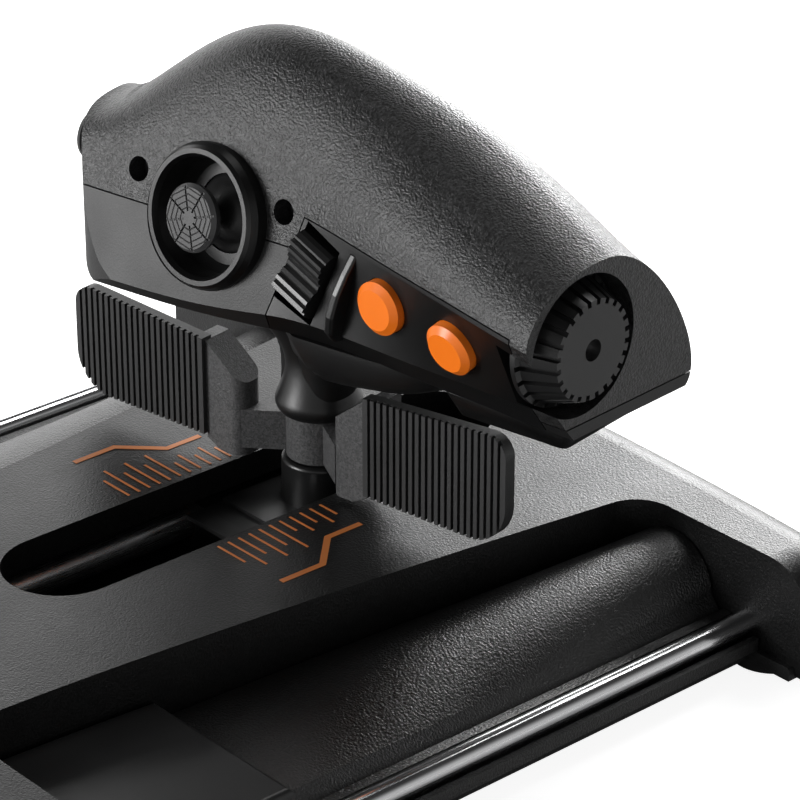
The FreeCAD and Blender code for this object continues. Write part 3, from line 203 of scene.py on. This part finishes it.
looks = {
    "grip": moulded("grip_grain", grey(34), rough=0.42, grain=0.42 * mm, relief=1.0,
                    variation=0.05, specular=0.6, sparkle=1.0),
    "grip_lower": moulded("lower_grip_grain", grey(20), rough=0.5, grain=0.3 * mm, relief=0.2,
                          variation=0.05, specular=0.5, sparkle=0.25),
    "cover": moulded("cover_grain", grey(13), rough=0.38, grain=0.36 * mm, relief=0.4,
                     variation=0.05, specular=0.4, sparkle=0.8),
    "panel": moulded("panel_satin", grey(14), rough=0.33, grain=0.14 * mm, relief=0.08,
                     variation=0.06, specular=0.45),
    "ring": moulded("ring_satin", grey(16), rough=0.32, grain=0.2 * mm, relief=0.1,
                    variation=0.06, specular=0.5),
    "knob": moulded("knob_satin", grey(28), rough=0.34, grain=0.2 * mm, relief=0.12,
                    variation=0.06, specular=0.5),
    "cap": moulded("cap_satin", grey(62), rough=0.45, grain=0.2 * mm, relief=0.15,
                   variation=0.06, specular=0.4),
    "arm": moulded("arm_satin", grey(66), rough=0.48, grain=0.3 * mm, relief=0.3,
                   variation=0.05, specular=0.45, sparkle=0.4),
    "pad": moulded("pad_matte", grey(38), rough=0.5, grain=0.25 * mm, relief=0.15,
                   variation=0.06, specular=0.45),
    "tray": moulded("tray_grain", grey(20), rough=0.36, grain=0.4 * mm, relief=0.8,
                    variation=0.05, specular=1.0, sparkle=1.0),
    "shelf": moulded("shelf_satin", grey(38), rough=0.34, grain=0.2 * mm, relief=0.1,
                     variation=0.05, specular=0.5),
    "inner": moulded("inner_matte", grey(20), rough=0.5, grain=0.4 * mm, relief=0.3,
                     variation=0.08, specular=0.4),
    # near-black strips: painted shade of the ring grooves on the stick's cap
    "groove_shade": moulded("painted_groove_shade", grey(6), rough=0.6, grain=0.2 * mm, relief=0.05,
                        variation=0.02, specular=0.2),
    "saddle": moulded("saddle_satin", grey(20), rough=0.4, grain=0.25 * mm, relief=0.08,
                      variation=0.05, specular=0.45),
    "rubber": rubbery("foot_rubber", grey(26)),
    "felt": rubbery("brake_felt", grey(60), 0.9),
    "orange": moulded("orange_moulding", orange_tone, rough=0.34, grain=0.2 * mm, relief=0.05,
                      variation=0.03, specular=0.45),
    "print": moulded("orange_print", print_tone, rough=0.5, grain=0.3 * mm, relief=0.05,
                     variation=0.05, specular=0.4),
    "steel": metal("ground_steel", (0.86, 0.86, 0.87, 1), 0.1, (1, 0.02, 1), 0.04),
    # paler than the ground steel: a painted highlight so the guide rods read bright in the slot; also
    # rougher to catch broader light
    "painted_sheen_rod": metal("painted_sheen_rod", (0.92, 0.92, 0.93, 1), 0.24, (1, 0.02, 1), 0.04),
    "dark_steel": metal("blackened_steel", (0.1, 0.1, 0.105, 1), 0.35),
    "bronze": metal("sintered_bronze", (0.5, 0.33, 0.17, 1), 0.4),
    "brass": metal("turned_brass", (0.72, 0.55, 0.28, 1), 0.25, (1, 1, 0.05)),
    "plate": moulded("powder_coat", grey(30), rough=0.5, grain=0.5 * mm, relief=0.5,
                     variation=0.05, specular=0.5),
    "board": board_material(),
}

finishes = {
    "grip": ("grip_upper_shell",),
    "grip_lower": ("grip_lower_shell", "thumb_plate"),
    "cover": ("base_top_cover",),
    "panel": ("control_panel",),
    "ring": ("stick_ring", "neck_flange"),
    "knob": ("antenna_knob", "rocker_key", "mini_stick"),
    "cap": ("stick_cap",),
    "arm": ("paddle_carrier",),
    "pad": ("paddle_pad_right", "paddle_pad_left", "hat_upper", "hat_lower"),
    "tray": ("side_tray_right", "side_tray_left"),
    "shelf": ("front_shelf_right", "front_shelf_left", "slot_cover"),
    "inner": ("carriage_block", "neck_nut", "side_rod_clips", "rod_saddle_rear", "rod_saddle_front",
              "button_switches", "stick_module", "rocker_bracket", "knob_sensor", "hat_bases",
              "usb_socket", "pedal_socket", "tension_screw"),
    "saddle": ("neck_saddle",),
    "rubber": ("rubber_feet",),
    "felt": ("brake_strip",),
    "orange": ("front_button_inner", "front_button_outer", "thumb_button"),
    "steel": ("side_rod_right", "side_rod_left", "neck_tube", "knob_shaft", "stick_gimbal",
              "hat_upper_cross", "hat_lower_cross"),
    "painted_sheen_rod": ("guide_rod_right", "guide_rod_left"),
    "dark_steel": ("case_screws", "grip_screws"),
    "bronze": ("slide_bushings",),
    "brass": ("threaded_inserts",),
    "plate": ("bottom_plate", "ballast_bars"),
    "board": ("main_circuit_board", "grip_circuit_board", "slide_sensor"),
}

smooth_angle = math.radians(38)        # edges that turn by more than this stay crisp


def smooth(piece):
    piece.data.shade_smooth()
    piece.data.set_sharp_from_angle(angle=smooth_angle)


for look, names in finishes.items():
    for name in names:
        piece = nodes[name]
        piece.data.materials.clear()
        piece.data.materials.append(looks[look])
        smooth(piece)


# ---------------------------------------------------------------------------------------------
# Printed marks on the deck
# ---------------------------------------------------------------------------------------------

print_lift = 0.06 * mm                 # the marks stand this far above the deck
print_thickness = 0.04 * mm
tick_count, tick_pitch = 11, 2.18 * mm
first_tick = -9.0 * mm
tick_start = 11.8 * mm                 # from the slot's middle
tick_width = 0.42 * mm
longer_ticks = 6                       # this many, from the first, reach further out
longer_ends = (18.9 * mm, 21.7 * mm)   # where a short tick and a long tick end
shorter_ends = (16.2 * mm, 18.0 * mm)
framing_width = 1.15 * mm
framing_bends = ((27.6, -9.3), (27.7, -17.9), (21.3, -24.4), (21.3, -31.6))  # in mm


def flat_strip(mesh, points, width, height):
    """Add a strip of even width along points on a level surface, with mitred corners."""
    centres = [Vector((x, y)) for x, y in points]
    sides = []
    for index, centre in enumerate(centres):
        before = (centre - centres[index - 1]).normalized() if index else None
        after = (centres[index + 1] - centre).normalized() if index + 1 < len(centres) else None
        first, last = before or after, after or before
        normal = Vector((-(first + last).y, (first + last).x)).normalized()
        reach = width / 2 / max(0.5, normal.dot(Vector((-first.y, first.x))))
        sides.append((centre + normal * reach, centre - normal * reach))
    corners = [(mesh.verts.new((left.x, left.y, height)), mesh.verts.new((right.x, right.y, height)))
               for left, right in sides]
    for (left, right), (left_after, right_after) in zip(corners, corners[1:]):
        mesh.faces.new((left, right, right_after, left_after))


def finish_mesh(name, mesh, look, body, thickness=0.0):
    """Turn a built mesh into a piece with its look, riding on its body."""
    bmesh.ops.recalc_face_normals(mesh, faces=mesh.faces)
    data = bpy.data.meshes.new(name)
    mesh.to_mesh(data)
    mesh.free()
    piece = bpy.data.objects.new(name, data)
    bpy.context.scene.collection.objects.link(piece)
    data.materials.append(looks[look])
    if thickness:
        solid = piece.modifiers.new("thickness", "SOLIDIFY")
        solid.thickness = thickness
        solid.offset = 0
    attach(piece, body)
    return piece


def make_scale(side):
    """Ticks beside the slot, alternately long and short, and the line that frames them."""
    marks = bmesh.new()
    height = deck_top + print_lift
    for index in range(tick_count):
        y = first_tick - tick_pitch * index
        short, long = longer_ends if index < longer_ticks else shorter_ends
        outer = long if index % 2 else short
        flat_strip(marks, [(side * tick_start, y), (side * outer, y)], tick_width, height)
    flat_strip(marks, [(side * x * mm, y * mm) for x, y in framing_bends], framing_width, height)
    name = "deck_scale_" + ("right" if side > 0 else "left")
    finish_mesh(name, marks, "print", "base", print_thickness)


for side in (-1, 1):
    make_scale(side)


# ---------------------------------------------------------------------------------------------
# Forms on the grip, in its own axes: along to the thumb end, towards the fingers, up
# ---------------------------------------------------------------------------------------------

handle = Matrix.Translation((neck.x, neck.y, deck_top)) @ Matrix.Rotation(grip_yaw, 4, "Z")


def on_handle(along, across, up):
    """A place given in mm in the grip's axes."""
    return handle @ Vector((along * mm, across * mm, up * mm))


def rounded_loop(mesh, box, height, corners, count=72):
    """A loop of vertices round a box's plan, all in mm, that draws in near the thumb end.

    corners is 2 for an ellipse, and more than that for squarer corners.
    """
    low_u, high_u, low_v, high_v = box
    kept_across = 4.0                  # only what lies further to the fingers' side draws in
    draw_in = 16.0                     # and only this near to the thumb end
    loop = []
    for index in range(count):
        turn = 2 * math.pi * index / count
        x, y = math.cos(turn), math.sin(turn)
        u = math.copysign(abs(x) ** (2 / corners), x)
        v = math.copysign(abs(y) ** (2 / corners), y)
        along = (low_u + high_u) / 2 + u * (high_u - low_u) / 2
        across = (low_v + high_v) / 2 + v * (high_v - low_v) / 2
        if across > kept_across:
            reach = min(1.0, (high_u - along) / draw_in)
            across = kept_across + (across - kept_across) * reach
        loop.append(mesh.verts.new(on_handle(along, across, height)))
    return loop


def make_belly_fairing():
    """Flared fairing between the saddle on the neck and the grip's underside."""
    # height, corners and the box's ends along and across, in mm
    stations = ((14.0, 2.0, (-6.6, 6.4, -6.4, 6.8)), (17.5, 2.0, (-7.4, 5.8, -5.8, 7.4)),
                (20.6, 2.0, (-9.4, 5.6, -6.0, 8.6)), (22.6, 2.4, (-13.0, 5.7, -6.4, 10.4)),
                (23.9, 2.8, (-23.0, 6.0, -7.5, 13.0)), (25.6, 3.0, (-30.5, 6.4, -9.0, 14.8)),
                (28.2, 3.4, (-36.0, 7.2, -11.0, 16.2)), (31.2, 4.0, (-38.6, 8.6, -12.6, 17.0)),
                (32.4, 4.0, (-38.8, 9.0, -12.8, 17.1)))
    mesh = bmesh.new()
    loops = [rounded_loop(mesh, box, height, corners) for height, corners, box in stations]
    for low, high in zip(loops, loops[1:]):
        for index in range(len(low)):
            after = (index + 1) % len(low)
            mesh.faces.new((low[index], low[after], high[after], high[index]))
    mesh.faces.new(loops[0][::-1])
    mesh.faces.new(loops[-1])
    smooth(finish_mesh("belly_fairing", mesh, "saddle", "throttle"))


def make_knob_chin():
    """Deeper corner of the housing under the knob, as the hull of its corners in mm."""
    corners = ((-37.5, 17.2, 31.6), (-62.9, 18.7, 31.4), (-39.7, 15.4, 26.9), (-60.6, 16.4, 27.2),
               (-37.5, -12.4, 31.6), (-66.6, -7.8, 31.4), (-39.5, -10.5, 30.4), (-65.6, -7.0, 30.4))
    mesh = bmesh.new()
    points = [mesh.verts.new(on_handle(*corner)) for corner in corners]
    bmesh.ops.convex_hull(mesh, input=points)
    bmesh.ops.dissolve_limit(mesh, angle_limit=math.radians(2), verts=mesh.verts, edges=mesh.edges)
    piece = finish_mesh("knob_chin", mesh, "panel", "throttle")
    round_off(piece, 1.3 * mm)


def round_off(piece, radius):
    """Round a piece's sharp edges."""
    bevel = piece.modifiers.new("round", "BEVEL")
    bevel.width = radius
    bevel.segments = 4
    bevel.limit_method = "ANGLE"
    bevel.angle_limit = math.radians(25)
    piece.data.shade_smooth()


def front_plane(name):
    """Centre and normal of a node's largest flat face on the finger side."""
    towards = handle.to_3x3() @ Vector((0, 1, 0))
    facing = 0.5                       # a face counts if it is turned to the fingers by this much
    planes = {}
    for face in nodes[name].data.polygons:
        if face.normal.dot(towards) > facing:
            distance = round(face.normal.dot(face.center) / mm, 1)
            key = tuple(round(part, 2) for part in face.normal) + (distance,)
            area, centre, _ = planes.get(key, (0.0, Vector(), None))
            planes[key] = (area + face.area, centre + face.center * face.area, face.normal.copy())
    area, centre, normal = max(planes.values(), key=lambda plane: plane[0])
    return centre / area, normal.normalized()


def plane_axes(normal):
    """Two axes in a plane: one level, one up the plane."""
    level = Vector((0, 0, 1)).cross(normal).normalized()
    return level, normal.cross(level)


def make_bezel(name, button):
    """Raised ring round a button."""
    centre, normal = front_plane(button)
    level, upright = plane_axes(normal)
    radius, bead = 5.3 * mm, 0.6 * mm  # of the ring, and of its own round section
    behind = 3.3 * mm                  # the ring's middle lies this far behind the button's face
    count, around = 48, 10             # vertices along the ring, and round its section
    mesh = bmesh.new()
    loops = []
    for index in range(count):
        turn = 2 * math.pi * index / count
        outward = level * math.cos(turn) + upright * math.sin(turn)
        loops.append([mesh.verts.new(centre - normal * behind + outward * (radius + bead * math.cos(tilt))
                                     + normal * bead * math.sin(tilt))
                      for tilt in (2 * math.pi * step / around for step in range(around))])
    for index, loop in enumerate(loops):
        after = loops[(index + 1) % count]
        for step in range(around):
            beside = (step + 1) % around
            mesh.faces.new((loop[step], after[step], after[beside], loop[beside]))
    piece = finish_mesh(name, mesh, "ring", "throttle")
    piece.data.shade_smooth()


def make_cap_web():
    """Thin near-black rings on the stick's cap between its eight grooves: painted shade of ring grooves
    that the cap's shape lacks.
    """
    centre, normal = front_plane("stick_cap")
    level, upright = plane_axes(normal)
    mesh = bmesh.new()
    radii = (1.9 * mm, 2.95 * mm, 4.0 * mm, 5.0 * mm)
    spokes, first_spoke = 8, math.radians(12)  # the rings bend at the cap's eight grooves
    width, lift = 0.22 * mm, 0.03 * mm
    for radius in radii:
        corners = []
        for index in range(spokes):
            turn = first_spoke + 2 * math.pi * index / spokes
            outward = -level * math.cos(turn) - upright * math.sin(turn)
            corners.append([mesh.verts.new(centre + normal * lift + outward * (radius + shift))
                            for shift in (-width / 2, width / 2)])
        for index, (inner, outer) in enumerate(corners):
            inner_after, outer_after = corners[(index + 1) % spokes]
            mesh.faces.new((inner, inner_after, outer_after, outer))
    finish_mesh("cap_web", mesh, "groove_shade", "mini_stick", lift)


make_belly_fairing()
make_knob_chin()
make_bezel("bezel_inner", "front_button_inner")
make_bezel("bezel_outer", "front_button_outer")
make_cap_web()


# ---------------------------------------------------------------------------------------------
# Floor, light and camera
# ---------------------------------------------------------------------------------------------

floor_reach = 6.0                      # lengths here are in metres
floor_seen = 0.88                      # glow of the floor straight into the camera, 1 is white
mirror_start, mirror_full = 0.45, 1.1  # from here outwards, gloss mirrors the floor as a bright wall
wall_level, ceiling_level = 0.5, 0.03  # studio brightness near the horizon and overhead
wall_end, ceiling_start = 0.2, 0.75    # heights on a unit sky between which one fades to the other
middle = (0.0, -0.03, 0.03)            # what most lamps point at
camera_place = (-0.4067, 0.3002, 0.2966)
camera_direction = (0.6717, -0.5933, -0.4435)
camera_lens, camera_sensor = 157.5, 36.0  # in mm
nearest_seen = 0.01


def make_floor():
    """Pale floor: a plain backdrop to the camera, and bright far off to what mirrors it."""
    mesh = bmesh.new()
    bmesh.ops.create_grid(mesh, x_segments=1, y_segments=1, size=floor_reach)
    data = bpy.data.meshes.new("floor")
    mesh.to_mesh(data)
    mesh.free()
    floor = bpy.data.objects.new("floor", data)
    bpy.context.scene.collection.objects.link(floor)
    made = Recipe("pale_floor")
    made.shader.inputs["Base Color"].default_value = (0.82, 0.82, 0.82, 1)
    made.shader.inputs["Roughness"].default_value = 0.9
    path = made.node("ShaderNodeLightPath")
    distance = made.node("ShaderNodeVectorMath", operation="LENGTH")
    made.join(made.coordinates, distance.inputs[0])
    far = made.ramp(distance.outputs["Value"], mirror_start, mirror_full, 0.0, 1.0)
    mirrored = made.node("ShaderNodeMath", operation="MULTIPLY")
    made.join(path.outputs["Is Glossy Ray"], mirrored.inputs[0])
    made.join(far, mirrored.inputs[1])
    seen = made.ramp(path.outputs["Is Camera Ray"], 0, 1, 0.0, floor_seen)
    glow = made.node("ShaderNodeMath", operation="MAXIMUM")
    made.join(seen, glow.inputs[0])
    made.join(mirrored.outputs[0], glow.inputs[1])
    made.shader.inputs["Emission Color"].default_value = (1, 1, 1, 1)
    made.feed("Emission Strength", glow.outputs[0])
    data.materials.append(made.material)


def make_world():
    """A studio with a pale wall all round and a dark ceiling; seen straight on it is plain white."""
    world = bpy.data.worlds.new("studio")
    world.use_nodes = True
    tree = world.node_tree

    def node(kind, **settings):
        made = tree.nodes.new(kind)
        for key, value in settings.items():
            setattr(made, key, value)
        return made

    direction = node("ShaderNodeTexCoord").outputs["Generated"]
    parts = node("ShaderNodeSeparateXYZ")
    tree.links.new(direction, parts.inputs[0])
    wall = node("ShaderNodeMapRange", interpolation_type="SMOOTHSTEP")
    fade = {"From Min": wall_end, "From Max": ceiling_start, "To Min": wall_level, "To Max": ceiling_level}
    for key, value in fade.items():
        wall.inputs[key].default_value = value
    tree.links.new(parts.outputs["Z"], wall.inputs["Value"])
    path = node("ShaderNodeLightPath")
    level = node("ShaderNodeMix", data_type="FLOAT")
    tree.links.new(path.outputs["Is Camera Ray"], level.inputs[0])
    tree.links.new(wall.outputs["Result"], level.inputs[2])
    level.inputs[3].default_value = 1.0
    tree.links.new(level.outputs[0], tree.nodes["Background"].inputs["Strength"])
    tree.nodes["Background"].inputs["Color"].default_value = (1, 1, 1, 1)
    bpy.context.scene.world = world


def soft_light(name, place, target, size, power):
    """A rectangular lamp, its power in watts, that the camera doesn't see."""
    data = bpy.data.lights.new(name, "AREA")
    data.shape = "RECTANGLE"
    data.size, data.size_y = size
    data.energy = power
    light = bpy.data.objects.new(name, data)
    light.location = place
    light.rotation_euler = (Vector(target) - Vector(place)).to_track_quat("-Z", "Y").to_euler()
    light.visible_camera = False
    bpy.context.scene.collection.objects.link(light)


def make_camera():
    """The photograph's viewing angle."""
    data = bpy.data.cameras.new("camera")
    data.lens = camera_lens
    data.sensor_width = camera_sensor
    data.clip_start = nearest_seen
    camera = bpy.data.objects.new("camera", data)
    camera.location = camera_place
    camera.rotation_euler = Vector(camera_direction).to_track_quat("-Z", "Y").to_euler()
    bpy.context.scene.collection.objects.link(camera)
    bpy.context.scene.camera = camera


make_floor()
make_world()
soft_light("key", place=(0.28, 0.6, 0.2), target=middle, size=(0.3, 0.3), power=4.6)
soft_light("rear_wall", place=(0.8, -0.5, 0.32), target=middle, size=(1.4, 0.5), power=5.0)
soft_light("rear_low", place=(0.16, -0.42, 0.17), target=(-0.05, -0.13, 0.02), size=(0.2, 0.14), power=1.4)
soft_light("upper_rear", place=(0.1, -0.5, 0.8), target=middle, size=(0.3, 0.3), power=1.2)
make_camera()
bpy.context.scene.view_settings.view_transform = "Standard"
